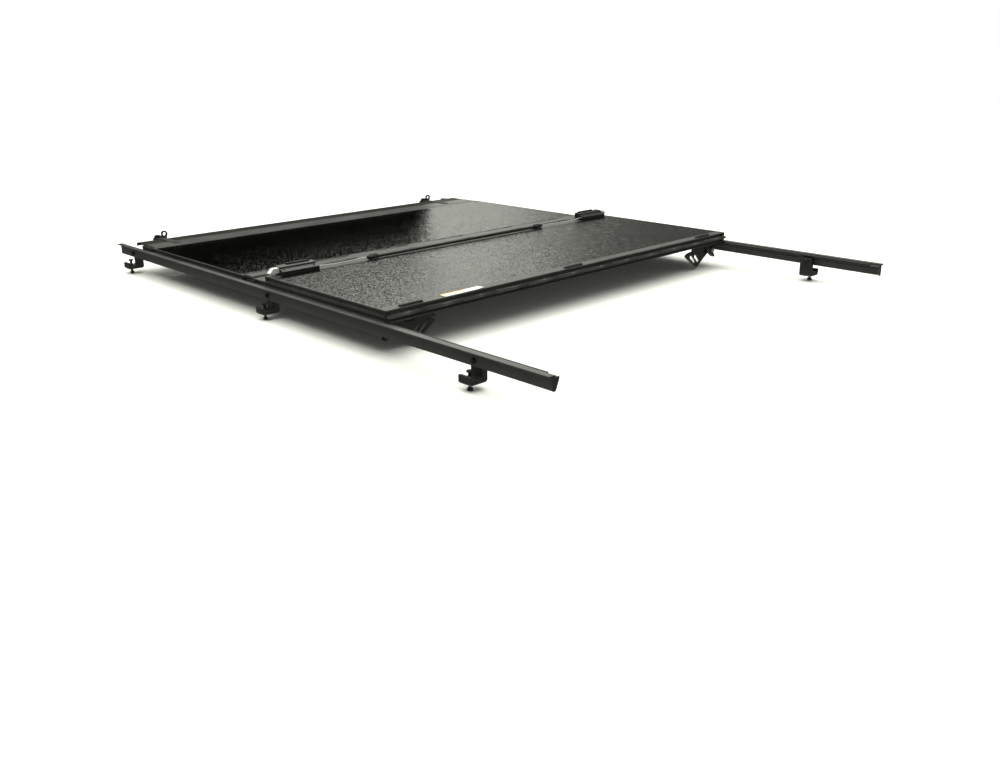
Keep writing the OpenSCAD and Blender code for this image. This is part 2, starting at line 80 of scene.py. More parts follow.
# ----------------------------------------------------------------- node graphs
def tone(level, shares=(1, 1, 1)):
    """Colour of the given level; shares scale its red, green and blue."""
    return (*(level * share for share in shares), 1)


class Graph:
    """Builds nodes in an emptied node tree."""

    def __init__(self, tree):
        self.tree = tree
        tree.nodes.clear()

    def put(self, kind, inputs=None, **props):
        node = self.tree.nodes.new(kind)
        for key, value in props.items():
            setattr(node, key, value)
        for key, value in (inputs or {}).items():
            if isinstance(value, bpy.types.NodeSocket):
                self.tree.links.new(value, node.inputs[key])
            else:
                node.inputs[key].default_value = value
        return node

    def math(self, operation, a, b=0.0):
        return self.put("ShaderNodeMath", {0: a, 1: b}, operation=operation).outputs[0]

    def add(self, a, b):
        return self.math("ADD", a, b)

    def mul(self, a, b):
        return self.math("MULTIPLY", a, b)

    def vector(self, operation, a, b):
        node = self.put("ShaderNodeVectorMath", {0: a, 1: b}, operation=operation)
        return node.outputs["Value" if operation == "DOT_PRODUCT" else "Vector"]

    def ramp(self, value, lo, hi, to=(0.0, 1.0), smooth=True):
        """Remaps lo..hi to the range given by to."""
        return self.put(
            "ShaderNodeMapRange",
            {"Value": value, "From Min": lo, "From Max": hi, "To Min": to[0], "To Max": to[1]},
            interpolation_type="SMOOTHSTEP" if smooth else "LINEAR").outputs[0]

    def mix_shader(self, factor, a, b):
        return self.put("ShaderNodeMixShader", {0: factor, 1: a, 2: b}).outputs[0]


class Surface(Graph):
    """A Principled material with textures in object space."""

    def __init__(self, name):
        self.material = bpy.data.materials.new(name)
        self.material.use_nodes = True
        super().__init__(self.material.node_tree)
        output = self.put("ShaderNodeOutputMaterial")
        self.bsdf = self.put("ShaderNodeBsdfPrincipled")
        self.tree.links.new(self.bsdf.outputs[0], output.inputs[0])
        self.place = self.put("ShaderNodeTexCoord").outputs["Object"]

    def stretched(self, scale):
        return self.put("ShaderNodeMapping", {"Vector": self.place, "Scale": scale}).outputs[0]

    def noise(self, scale, detail=2.0, rough=0.5, at=None, output="Fac"):
        return self.put("ShaderNodeTexNoise", {
            "Vector": at or self.place, "Scale": scale, "Detail": detail,
            "Roughness": rough}).outputs[output]

    def voronoi(self, scale, feature="F1", at=None):
        return self.put("ShaderNodeTexVoronoi", {"Vector": at or self.place, "Scale": scale},
                        feature=feature).outputs["Distance"]

    def centred_noise(self, scale, detail):
        """Random vector field, shifted to lie about zero."""
        field = self.noise(scale=scale, detail=detail, output="Color")
        return self.vector("SUBTRACT", field, (0.5, 0.5, 0.5))

    def mix(self, factor, a, b):
        return self.put("ShaderNodeMix", {0: factor, 6: a, 7: b}, data_type="RGBA").outputs[2]

    def bump(self, height, depth, strength):
        return self.put("ShaderNodeBump", {
            "Height": height, "Distance": depth, "Strength": strength}).outputs[0]

    def sway(self, normal, scale, amount):
        """Tilts the normal by a smooth random field of the given scale."""
        field = self.centred_noise(scale=scale, detail=1.0)
        tilt = self.vector("MULTIPLY", field, (amount, amount, 0.0))
        tilted = self.vector("ADD", tilt, normal)
        return self.put("ShaderNodeVectorMath", {0: tilted}, operation="NORMALIZE").outputs[0]

    def xyz(self):
        return self.put("ShaderNodeSeparateXYZ", {0: self.place}).outputs

    def edge_highlight_mask(self, radius, amount, patch_scale, patch):
        """Mask for a painted highlight that rises on tight edges, broken into patches of noise."""
        bevel = self.put("ShaderNodeBevel", {"Radius": radius}, samples=4)
        geometry = self.put("ShaderNodeNewGeometry")
        facing = self.vector("DOT_PRODUCT", bevel.outputs[0], geometry.outputs["Normal"])
        edges = self.ramp(facing, lo=0.995, hi=0.80, to=(0.0, amount))
        patches = self.ramp(self.noise(scale=patch_scale, detail=3.0), *patch)
        return self.mul(edges, patches)

    def finish(self, colour, rough, normal, metal=0.0, spec=0.5, **extra):
        values = {"Base Color": colour, "Roughness": rough, "Metallic": metal,
                  "Specular IOR Level": spec, "Normal": normal, **extra}
        for key, value in values.items():
            if isinstance(value, bpy.types.NodeSocket):
                self.tree.links.new(value, self.bsdf.inputs[key])
            else:
                self.bsdf.inputs[key].default_value = value
        return self.material


# ----------------------------------------------------------------- materials
def fibreglass(name, tilt, tilt_scale, gloss, spec):
    """Pebble-grained black fibreglass sheet; gloss is its lowest roughness."""
    t = Surface(name)
    warp = t.centred_noise(scale=90.0, detail=2.0)
    warp = t.put("ShaderNodeVectorMath", {0: warp, "Scale": 0.007}, operation="SCALE").outputs[0]
    at = t.vector("ADD", t.place, warp)
    cells = t.ramp(t.voronoi(scale=150.0, feature="DISTANCE_TO_EDGE", at=at), lo=0.0, hi=0.42)
    small = t.ramp(t.voronoi(scale=330.0, feature="DISTANCE_TO_EDGE", at=at), lo=0.0, hi=0.35)
    fine = t.noise(scale=2200.0)
    # share of each grain size in the height
    height = t.add(t.mul(cells, 0.66), t.add(t.mul(small, 0.22), t.mul(fine, 0.05)))
    pebbled = t.bump(height, depth=0.00034, strength=1.0)
    normal = t.sway(pebbled, scale=tilt_scale, amount=tilt)
    patch = t.noise(scale=6.5, detail=3.0, rough=0.6)
    rough = t.add(t.ramp(patch, lo=0.3, hi=0.7, to=(gloss, gloss + 0.06)), t.mul(cells, -0.02))
    colour = t.mix(t.ramp(t.noise(scale=70.0, detail=3.0), lo=0.35, hi=0.7),
                   a=(0.0007, 0.0007, 0.0006, 1), b=(0.0014, 0.0014, 0.0013, 1))
    # the grooves between pebbles are painted darker: painted shade
    colour = t.mix(cells, a=tone(0.0004), b=colour)
    return t.finish(colour, rough, normal, spec=spec)


def powder_coat(name, base, rough, highlight_strength):
    """Black powder-coated aluminium extrusion, with a painted highlight on its edges."""
    t = Surface(name)
    peel = t.noise(scale=1500.0, rough=0.55)
    coarse = t.noise(scale=380.0, detail=1.0)
    height = t.add(t.mul(peel, 0.6), t.mul(coarse, 0.5))
    normal = t.bump(height, depth=0.00012, strength=0.6)
    cloud = t.noise(scale=14.0, detail=3.0, rough=0.6)
    cloudy_rough = t.ramp(cloud, lo=0.3, hi=0.7, to=(rough - 0.04, rough + 0.06))
    rough = t.add(cloudy_rough, t.mul(peel, 0.05))
    # the edges are painted lighter below: a painted highlight
    painted_edge_highlight = t.edge_highlight_mask(radius=0.0009, amount=highlight_strength, patch_scale=90.0, patch=(0.42, 0.62))
    colour = t.mix(t.ramp(cloud, lo=0.3, hi=0.7),
                   a=tone(base, (0.85, 0.85, 0.86)), b=tone(base, (1.2, 1.19, 1.17)))
    colour = t.mix(painted_edge_highlight, a=colour, b=tone(base, (3.2, 3.2, 3.15)))
    return t.finish(colour, rough, normal)


def moulded(name, base, rough):
    """Spark-eroded glass-filled nylon."""
    t = Surface(name)
    grain = t.noise(scale=1900.0, detail=3.0, rough=0.6)
    normal = t.bump(grain, depth=0.00016, strength=0.7)
    cloud = t.noise(scale=30.0, detail=3.0)
    rough = t.ramp(cloud, lo=0.3, hi=0.7, to=(rough - 0.05, rough + 0.07))
    # the edges are painted lighter below: a painted highlight
    painted_edge_highlight = t.edge_highlight_mask(radius=0.0007, amount=0.45, patch_scale=160.0, patch=(0.4, 0.65))
    colour = t.mix(t.ramp(cloud, lo=0.3, hi=0.75),
                   a=tone(base, (0.8, 0.8, 0.8)), b=tone(base, (1.3, 1.3, 1.28)))
    colour = t.mix(painted_edge_highlight, a=colour, b=tone(base, (3.5, 3.5, 3.4)))
    return t.finish(colour, rough, normal)


def casting():
    """Black coated die casting."""
    t = Surface("black_casting")
    grain = t.noise(scale=700.0, detail=4.0, rough=0.65)
    pits = t.ramp(t.voronoi(scale=900.0), lo=0.0, hi=0.35)
    normal = t.bump(t.add(grain, t.mul(pits, 0.35)), depth=0.00022, strength=0.75)
    rough = t.ramp(t.noise(scale=40.0, detail=3.0), lo=0.3, hi=0.7, to=(0.42, 0.58))
    colour = t.mix(t.ramp(grain, lo=0.35, hi=0.7), a=(0.013, 0.013, 0.0135, 1), b=tone(0.026))
    # the edges are painted lighter below: a painted highlight
    painted_edge_highlight = t.edge_highlight_mask(radius=0.0008, amount=0.7, patch_scale=120.0, patch=(0.42, 0.6))
    colour = t.mix(painted_edge_highlight, a=colour, b=(0.11, 0.11, 0.108, 1))
    return t.finish(colour, rough, normal)


def rubber(name, base, rough):
    """Black rubber with lines drawn along Y and a pale bloom."""
    t = Surface(name)
    grain = t.noise(scale=1200.0, detail=3.0, rough=0.6)
    lines = t.noise(scale=500.0, at=t.stretched((1, 0.02, 1)))
    height = t.add(t.mul(grain, 0.6), t.mul(lines, 0.4))
    normal = t.bump(height, depth=0.00016, strength=0.6)
    bloom = t.ramp(t.noise(scale=18.0, detail=4.0, rough=0.65), lo=0.45, hi=0.75)
    colour = t.mix(bloom, a=tone(base), b=tone(base, (2.2, 2.2, 2.1)))
    rough = t.ramp(bloom, lo=0.0, hi=1.0, to=(rough - 0.06, rough + 0.1), smooth=False)
    return t.finish(colour, rough, normal, spec=0.42)


def zinc():
    """Bright plated latch bolt with faint wipe marks along X."""
    t = Surface("bright_zinc")
    wipes = t.noise(scale=60.0, detail=3.0, at=t.stretched((0.3, 14, 14)))
    normal = t.bump(wipes, depth=0.00006, strength=0.5)
    colour = t.mix(t.noise(scale=55.0, detail=3.0),
                   a=(0.86, 0.87, 0.86, 1), b=(0.95, 0.95, 0.92, 1))
    rough = t.ramp(wipes, lo=0.3, hi=0.7, to=(0.42, 0.55))
    return t.finish(colour, rough, normal, metal=0.55)


def steel(name, base, rough, metal):
    """Plain steel with fine marks along X."""
    t = Surface(name)
    marks = t.noise(scale=240.0, detail=3.0, at=t.stretched((0.05, 1, 1)))
    normal = t.bump(marks, depth=0.00005, strength=0.5)
    colour = t.mix(t.noise(scale=45.0, detail=3.0),
                   a=tone(base, (0.85, 0.85, 0.87)), b=tone(base, (1.1, 1.09, 1.06)))
    rough = t.ramp(marks, lo=0.3, hi=0.7, to=(rough - 0.06, rough + 0.08))
    return t.finish(colour, rough, normal, metal=metal)


def black_oxide():
    """Blackened screws and bolts, painted lighter on their edges as a painted highlight."""
    t = Surface("black_oxide")
    grain = t.noise(scale=900.0, detail=3.0)
    normal = t.bump(grain, depth=0.00006, strength=0.6)
    # the edges are painted lighter below: a painted highlight
    painted_edge_highlight = t.edge_highlight_mask(radius=0.0005, amount=0.8, patch_scale=200.0, patch=(0.4, 0.6))
    colour = t.mix(painted_edge_highlight, a=(0.035, 0.035, 0.037, 1), b=tone(0.25))
    rough = t.ramp(grain, lo=0.3, hi=0.7, to=(0.36, 0.5))
    return t.finish(colour, rough, normal, metal=0.6)


def webbing():
    """Woven polyester strap: a plain weave of ribs."""
    pitch_x, pitch_y = 0.0016, 0.0022
    t = Surface("webbing")
    x, y, _ = t.xyz()
    across = t.math("SINE", t.mul(x, 2 * math.pi / pitch_x))
    along = t.math("SINE", t.mul(y, 2 * math.pi / pitch_y))
    weave = t.mul(across, along)
    fuzz = t.noise(scale=2500.0)
    normal = t.bump(t.add(weave, t.mul(fuzz, 0.5)), depth=0.00016, strength=0.8)
    # the weave's raised crossings are painted lighter and its hollows darker: painted shade
    colour = t.mix(t.ramp(weave, lo=-0.6, hi=0.8), a=tone(0.006), b=tone(0.024))
    sheen = {"Sheen Weight": 0.25, "Sheen Roughness": 0.4}
    return t.finish(colour, rough=0.72, normal=normal, spec=0.35, **sheen)


def foam():
    """Grey cellular foam."""
    t = Surface("foam_core")
    cells = t.voronoi(scale=900.0)
    normal = t.bump(cells, depth=0.0003, strength=0.7)
    # the hollows of the cells are painted darker: painted shade
    colour = t.mix(cells, a=(0.11, 0.11, 0.10, 1), b=(0.2, 0.2, 0.19, 1))
    return t.finish(colour, rough=0.9, normal=normal)


def label_vinyl():
    """White vinyl with a yellow band along part of its +Y edge and a faint rule below it."""
    band_width = 0.0075
    band_end = (0.052, 0.058)       # the band fades in between these distances from +X
    rule_inset, rule_half = 0.0082, 0.0005
    t = Surface("blank_label")
    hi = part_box("info_label")[1]
    x, y, _ = t.xyz()
    band = t.mul(t.math("GREATER_THAN", y, hi.y - band_width),
                 t.ramp(x, lo=hi.x - band_end[0], hi=hi.x - band_end[1]))
    white = t.mix(t.noise(scale=90.0), a=(0.80, 0.80, 0.77, 1), b=(0.88, 0.88, 0.86, 1))
    from_rule = t.math("ABSOLUTE", t.math("SUBTRACT", y, hi.y - rule_inset))
    rule = t.math("LESS_THAN", from_rule, rule_half)
    colour = t.mix(band, a=white, b=(0.83, 0.53, 0.045, 1))
    colour = t.mix(t.mul(rule, 0.35), a=colour, b=tone(0.3))
    normal = t.bump(t.noise(scale=350.0), depth=0.0001, strength=0.4)
    return t.finish(colour, rough=0.33, normal=normal)


# keyed by material slot; under_skin, rail_extrusion, latch_plastic and seal_rubber are variants
MATERIALS = {
    "panel_skin": fibreglass("frp_skin", tilt=0.60, tilt_scale=165.0, gloss=0.09, spec=0.36),
    "under_skin": fibreglass("frp_skin_under", tilt=0.74, tilt_scale=175.0, gloss=0.225, spec=0.5),
    # the last argument of powder_coat sets the strength of its painted edge highlight
    "black_extrusion": powder_coat("powder_coat", base=0.056, rough=0.46, highlight_strength=0.5),
    "rail_extrusion": powder_coat("powder_coat_rail", base=0.066, rough=0.46, highlight_strength=0.6),
    "black_plastic": moulded("moulded_plastic", base=0.016, rough=0.46),
    "latch_plastic": moulded("latch_plastic", base=0.011, rough=0.36),
    "black_casting": casting(),
    "black_rubber": rubber("epdm", base=0.011, rough=0.62),
    "seal_rubber": rubber("seal_epdm", base=0.008, rough=0.66),
    "bright_bolt": zinc(),
    "steel": steel("plain_steel", base=0.52, rough=0.32, metal=1.0),
    "steel_cable": steel("cable_wire", base=0.80, rough=0.42, metal=0.55),
    "black_fasteners": black_oxide(),
    "strap_webbing": webbing(),
    "foam_core": foam(),
    "label": label_vinyl(),
}

# CAD pieces that don't take the material of their slot
NODE_MATERIAL = {
    "left_side_rail": "rail_extrusion", "right_side_rail": "rail_extrusion",
    "header_rail": "rail_extrusion",
    "front_panel_bottom_skin": "under_skin", "mid_panel_bottom_skin": "under_skin",
    "rear_panel_bottom_skin": "under_skin",
    "latch_housings": "latch_plastic", "cable_conduit": "latch_plastic",
    "conduit_clips": "black_plastic",
}

# edge radius of CAD pieces, millimetres
EDGE_RADII = {
    "left_side_rail": 0.5, "right_side_rail": 0.5, "header_rail": 0.6,
    "header_corner_brackets": 0.8, "rail_end_caps": 0.5, "rail_clamp_bodies": 1.6,
    "rail_clamp_bolts": 0.4, "rail_clamp_set_screws": 0.4, "stow_strap_buckles": 1.4,
    "front_panel_hold_downs": 1.0, "hinge_link": 0.35, "mid_clamp_brackets": 0.9,
    "mid_clamp_pivots": 0.5, "mid_clamp_lever_left": 1.6, "mid_clamp_lever_right": 1.6,
    "latch_housings": 1.2, "latch_bolt_left": 0.6, "latch_bolt_right": 0.6,
    "conduit_clips": 0.8, "cable_conduit": 0.5,
}
# for pieces not listed above, by the end of the name
EDGE_RADII_BY_ENDING = {"_rail": 0.35, "_end_caps": 0.4}


def edge_radius(name):
    if name in EDGE_RADII:
        return EDGE_RADII[name]
    for ending, radius in EDGE_RADII_BY_ENDING.items():
        if name.endswith(ending):
            return radius
    return None


def dress_cad_pieces():
    """Gives each CAD piece its material and rounds the edges that show."""
    slot_of = {part["node"]: part["material_slot"] for part in frame["record"]["subparts"]}
    for name, ob in NODES.items():
        ob.data.materials.clear()
        ob.data.materials.append(MATERIALS[NODE_MATERIAL.get(name, slot_of[name])])
        radius = edge_radius(name)
        if radius:
            weld = ob.modifiers.new("weld", "WELD")
            weld.merge_threshold = 1e-6
            bevel = ob.modifiers.new("edge_round", "BEVEL")
            bevel.width = radius * MM
            bevel.segments = 2
            bevel.limit_method = "ANGLE"
            bevel.angle_limit = math.radians(35)
            bevel.harden_normals = False
            bevel.use_clamp_overlap = True


dress_cad_pieces()


# ----------------------------------------------------------------- mesh tools
def place(name, data):
    ob = bpy.data.objects.new(name, data)
    bpy.context.scene.collection.objects.link(ob)
    return ob


def new_object(name, verts, faces, material):
    """Smooth-shaded mesh object with its faces turned outward."""
    mesh = bpy.data.meshes.new(name)
    mesh.from_pydata([tuple(v) for v in verts], [], faces)
    mesh.validate()
    bm = bmesh.new()
    bm.from_mesh(mesh)
    bmesh.ops.recalc_face_normals(bm, faces=bm.faces)
    bm.to_mesh(mesh)
    bm.free()
    mesh.materials.append(MATERIALS[material])
    for face in mesh.polygons:
        face.use_smooth = True
    return place(name, mesh)


def sweep_all(name, solids, material):
    """One mesh of capped solids, each a list of equal-length rings of points."""
    verts, faces = [], []
    for rings in solids:
        size = len(rings[0])
        first = len(verts)
        last = first + (len(rings) - 1) * size
        verts += [point for ring in rings for point in ring]
        for start in range(first, last, size):
            for j in range(size):
                k = (j + 1) % size
                faces.append((start + j, start + size + j, start + size + k, start + k))
        faces.append(tuple(range(first, first + size)))
        faces.append(tuple(range(last, last + size))[::-1])
    return new_object(name, verts, faces, material)


def sweep(name, rings, material):
    return sweep_all(name, [rings], material)


def crease(ob, degrees):
    """Splits the shading at edges sharper than the angle."""
    bm = bmesh.new()
    bm.from_mesh(ob.data)
    for edge in bm.edges:
        if len(edge.link_faces) == 2 and edge.calc_face_angle(0) > math.radians(degrees):
            edge.smooth = False
    bm.to_mesh(ob.data)
    bm.free()


def arc(centre, radius, degrees, steps):
    """Points of a circular arc in a profile plane, ends included."""
    start, end = degrees
    angles = [math.radians(start + (end - start) * i / steps) for i in range(steps + 1)]
    return [(centre[0] + radius * math.cos(a), centre[1] + radius * math.sin(a)) for a in angles]


def circle(radius, count):
    """Points (u, v) of a full circle about the origin."""
    angles = [2 * math.pi * i / count for i in range(count)]
    return [(radius * math.cos(a), radius * math.sin(a)) for a in angles]


def ring_across_x(x, y, z, radius, count):
    return [(x, y + u, z + v) for u, v in circle(radius, count)]


def stations(start, end, steps):
    return [start + (end - start) * i / steps for i in range(steps + 1)]


def middle(a, b):
    return (a + b) / 2


def clamp(value):
    return max(0.0, min(1.0, value))


def ripple(size, x, y, z=0.0):
    """Small smooth unevenness, up to about the given size."""
    return size * noise.noise(Vector((x, y, z)))


def ride(ob, body, replaced=None):
    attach(ob, body)
    if replaced:
        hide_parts(replaced)


def join(obs, name):
    bpy.ops.object.select_all(action="DESELECT")
    for ob in obs:
        ob.select_set(True)
    bpy.context.view_layer.objects.active = obs[0]
    bpy.ops.object.join()
    obs[0].name = name
    obs[0].data.name = name
    return obs[0]


# ----------------------------------------------------------------- seals
def make_seal(node, rings, body, crease_degrees):
    """Rubber seal in place of a CAD piece."""
    ob = sweep(node + "_epdm", rings, "seal_rubber")
    crease(ob, crease_degrees)
    ride(ob, body, node)


def rail_seal(side):
    """Edge seal: a bulb on top of the ledge and a lip hooked round its edge."""
    node = "right_rail_seal" if side > 0 else "left_rail_seal"
    lo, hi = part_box(node)
    outer_x, inner_x = (hi.x, lo.x) if side > 0 else (lo.x, hi.x)
    top, bottom = hi.z, lo.z
    width = abs(outer_x - inner_x)
    flat_to = 0.002     # inward of this the top ripples
    # distance inward from the outer edge, height
    profile = [(0.0004, top - 0.0033), (0.0006, top - 0.0018)]
    profile += arc((0.0040, top - 0.0019), radius=0.0019, degrees=(165, 20), steps=7)
    profile += [(width - 0.0048, top - 0.0009)]
    profile += arc((width - 0.0026, top - 0.0027), radius=0.0026, degrees=(100, -10), steps=8)
    profile += [
        (width - 0.0001, bottom + 0.0012), (width - 0.0007, bottom),
        (width - 0.0016, bottom + 0.0002), (width - 0.0026, bottom + 0.0009),
        (width - 0.0014, bottom + 0.0016), (width - 0.0014, top - 0.0034),
    ]
    rings = []
    for y in stations(lo.y, hi.y, 90):
        rise = ripple(0.00012, side * 7.0, y * 14.0)
        rings.append([(outer_x - side * inward, y, min(z + rise * (inward > flat_to), top))
                      for inward, z in profile])
    make_seal(node, rings, "bed_frame", crease_degrees=50)


def bulkhead_seal():
    """Wide ribbed seal that curves down to a thin edge on its +Y side."""
    rib_count, rib_start, rib_pitch = 6, 0.0075, 0.0088
    groove = 0.0011
    nose_radius = 0.0135
    uneven_from, uneven_to = 0.001, 0.0125      # heights between which the seal ripples
    lo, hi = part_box("bulkhead_seal")
    y0, y1 = lo.y, hi.y
    top = hi.z
    # y, z
    profile = [(y0, 0.0008), (y0, top - 0.0012), (y0 + 0.0012, top - 0.0002), (y0 + 0.004, top)]
    for k in range(rib_count):
        y = y0 + rib_start + k * rib_pitch
        profile += [(y, top), (y + 0.0009, top - groove), (y + 0.0026, top - groove),
                    (y + 0.0035, top)]
    profile += arc((y1 - 0.0205, top - nose_radius), radius=nose_radius, degrees=(84, 4), steps=9)
    profile += [
        (y1 - 0.0066, 0.0007), (y1 - 0.011, 0.0007), (y1 - 0.017, 0.0052),
        (y1 - 0.026, 0.0085), (y0 + 0.015, 0.0085), (y0 + 0.009, 0.0008),
    ]
    rings = []
    for x in stations(lo.x, hi.x, 110):
        rise = ripple(0.0004, x * 6.0, 2.0)
        ring = []
        for y, z in profile:
            uneven = uneven_from < z < uneven_to
            ring.append((x, y, z + (rise * ((y - y0) / (y1 - y0)) ** 2 if uneven else 0)))
        rings.append(ring)
    make_seal("bulkhead_seal", rings, "bed_frame", crease_degrees=45)


def link_gasket():
    """Flat gasket with five rounded ribs on its underside."""
    rib_count, rib_radius, rib_margin = 5, 0.0019, 0.0045
    lo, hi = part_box("hinge_link_gasket")
    centre_y = middle(lo.y, hi.y)
    half = (hi.y - lo.y) / 2
    # y from the centre line, z
    profile = [(-half, hi.z), (-half + 0.0015, hi.z - 0.0012)]
    for k in range(rib_count):
        rib_y = -half + rib_margin + k * (2 * half - 2 * rib_margin) / (rib_count - 1)
        profile += arc((rib_y, lo.z + rib_radius), rib_radius, degrees=(200, 340), steps=6)
    profile += [(half - 0.0015, hi.z - 0.0012), (half, hi.z)]
    rings = [[(x, centre_y + y, z) for y, z in profile] for x in stations(lo.x, hi.x, 60)]
    make_seal("hinge_link_gasket", rings, "link", crease_degrees=50)


def tailgate_seal():
    """Flat stem with a half-round bulb on its +Y side."""
    bulb_depth, bulb_half_height = 0.0045, 0.0057
    stem_length, stem_half_height = 0.0057, 0.0047
    lo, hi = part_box("tailgate_seal")
    root = hi.y - 0.005         # y where stem and bulb meet
    centre_z = middle(lo.z, hi.z)
    # y, z
    profile = [(root - stem_length, centre_z - stem_half_height),
               (root + 0.0001, centre_z - stem_half_height), (root + 0.0002, centre_z - 0.0056)]
    for degrees in range(-84, 85, 12):
        angle = math.radians(degrees)
        profile.append((root + 0.0004 + bulb_depth * math.cos(angle),
                        centre_z + bulb_half_height * math.sin(angle)))
    profile += [(root + 0.0002, centre_z + 0.0056), (root + 0.0001, centre_z + stem_half_height),
                (root - stem_length, centre_z + stem_half_height)]
    rings = []
    for x in stations(lo.x, hi.x, 80):
        push = ripple(0.0002, x * 9.0, 5.0, 1.0)
        rings.append([(x, y + (push if y > root + 0.001 else 0), z) for y, z in profile])
    make_seal("tailgate_seal", rings, "rear_panel", crease_degrees=50)


for side in SIDES:
    rail_seal(side)
bulkhead_seal()
link_gasket()
tailgate_seal()


# ----------------------------------------------------------------- bumpers
def bumpers():
    """Three low rubber pads in a row across the bed, each with two fixing heads."""
    half_length = 0.038
    middle_x = -0.042
    end_round = 0.005       # length over which each end tapers
    pin_inset = 0.012       # from the pad's end
    pin_sink = 0.0004
    pin_profile = [         # radius, height before sinking
        (0.0026, 0.0059), (0.0024, 0.0061), (0.0012, 0.0062), (0.0009, 0.0054), (0.0001, 0.0054),
    ]
    shoulder, shoulder_z = 0.0026, 0.0033
    lo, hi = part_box("hinge_bumpers")
    centre_y, half = middle(lo.y, hi.y), (hi.y - lo.y) / 2
    # y from the centre line, height
    profile = [(-half, 0.0), (-half, 0.0016)]
    profile += arc((-half + shoulder, shoulder_z), shoulder, degrees=(180, 92), steps=5)
    profile += [(-0.0008, 0.0057), (0.0, 0.0052), (0.0008, 0.0057)]
    profile += arc((half - shoulder, shoulder_z), shoulder, degrees=(88, 0), steps=5)
    profile += [(half, 0.0016), (half, 0.0)]
    steps = 30
    obs = []
    for centre_x in (lo.x + half_length, middle_x, hi.x - half_length):
        rings = []
        for i in range(steps + 1):
            u = i / steps
            x = centre_x - half_length + 2 * half_length * u
            from_end = min(u, 1 - u) * 2 * half_length
            scale = 1.0
            if from_end <= end_round:
                inside = (end_round - from_end) / end_round
                scale = math.sqrt(max(0.0, 1 - inside ** 2)) * 0.55 + 0.45
            rings.append([(x, centre_y + y * (0.8 + 0.2 * scale), lo.z + z * scale)
                          for y, z in profile])
        pad = sweep("bumper", rings, "black_rubber")
        crease(pad, 48)
        obs.append(pad)
        for side in SIDES:
            pin_x = centre_x + side * (half_length - pin_inset)
            rings = [[(pin_x + u, centre_y + v, lo.z + height - pin_sink)
                      for u, v in circle(radius, 16)] for radius, height in pin_profile]
            obs.append(sweep("bumper_pin", rings, "black_fasteners"))
    ob = join(obs, "hinge_bumpers_rubber")
    ride(ob, "rear_panel", "hinge_bumpers")


bumpers()


# ----------------------------------------------------------------- label
def label():
    """Thin sticker with rounded corners, its +X, -Y corner just lifting."""
    columns, rows = 58, 12
    corner = 0.0025
    surface_gap = 0.0002
    corner_lift = 0.0022
    lo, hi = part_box("info_label")
    verts, faces = [], []
    for j in range(rows + 1):
        for i in range(columns + 1):
            u, v = i / columns, j / rows
            x = lo.x + (hi.x - lo.x) * u
            y = lo.y + (hi.y - lo.y) * v
            # pull points outside the corner circle onto it
            dx = max(0.0, corner - min(x - lo.x, hi.x - x))
            dy = max(0.0, corner - min(y - lo.y, hi.y - y))
            reach = math.hypot(dx, dy)
            if dx > 0 and dy > 0 and reach > corner:
                x += (1 if x < middle(lo.x, hi.x) else -1) * (dx - dx * corner / reach)
                y += (1 if y < middle(lo.y, hi.y) else -1) * (dy - dy * corner / reach)
            lift = corner_lift * max(0.0, 1 - math.hypot((1 - u) * 3.2, v * 2.4)) ** 2
            verts.append((x, y, lo.z + surface_gap + ripple(0.00008, x * 60, y * 60) + lift))
    for j in range(rows):
        for i in range(columns):
            a = j * (columns + 1) + i
            faces.append((a, a + 1, a + columns + 2, a + columns + 1))
    ob = new_object("info_label_sticker", verts, faces, "label")
    solid = ob.modifiers.new("thickness", "SOLIDIFY")
    solid.thickness = 0.00016
    solid.offset = 1.0
    ride(ob, "rear_panel", "info_label")


label()


# ----------------------------------------------------------------- screws
SCREW_SEGMENTS = 24
# radius, height; both in head radii
SCREW_PROFILE = [(1.0, 0.0), (1.0, 0.22), (0.93, 0.42), (0.74, 0.58), (0.45, 0.66), (0.12, 0.68)]
RECESS_HEIGHT = 0.66                # height of the recess bars' centre, in head radii
RECESS_BAR = (1.1, 0.2, 0.5)        # length, width, depth, in head radii


def screw_head_mesh(name, radius):
    bm = bmesh.new()
    rings = []
    for share, height in SCREW_PROFILE:
        ring = []
        for i in range(SCREW_SEGMENTS):
            angle = 2 * math.pi * i / SCREW_SEGMENTS
            ring.append(bm.verts.new((radius * share * math.cos(angle),
                                      radius * share * math.sin(angle), radius * height)))
        rings.append(ring)
    for lower, upper in zip(rings, rings[1:]):
        for i in range(SCREW_SEGMENTS):
            j = (i + 1) % SCREW_SEGMENTS
            bm.faces.new((lower[i], lower[j], upper[j], upper[i])).smooth = True
    bm.faces.new(rings[0][::-1])
    bm.faces.new(rings[-1])
    mesh = bpy.data.meshes.new(name)
    bm.to_mesh(mesh)
    bm.free()
    return mesh


def recess_mesh(name, radius):
    """Two crossed bars."""
    bm = bmesh.new()
    for angle in (0, math.pi / 2):
        matrix = (Matrix.Translation((0, 0, radius * RECESS_HEIGHT))
                  @ Matrix.Rotation(angle, 4, "Z")
                  @ Matrix.Diagonal((*(radius * size for size in RECESS_BAR), 1)))
        bmesh.ops.create_cube(bm, size=1.0, matrix=matrix)
    mesh = bpy.data.meshes.new(name)
    bm.to_mesh(mesh)
    bm.free()
    return mesh


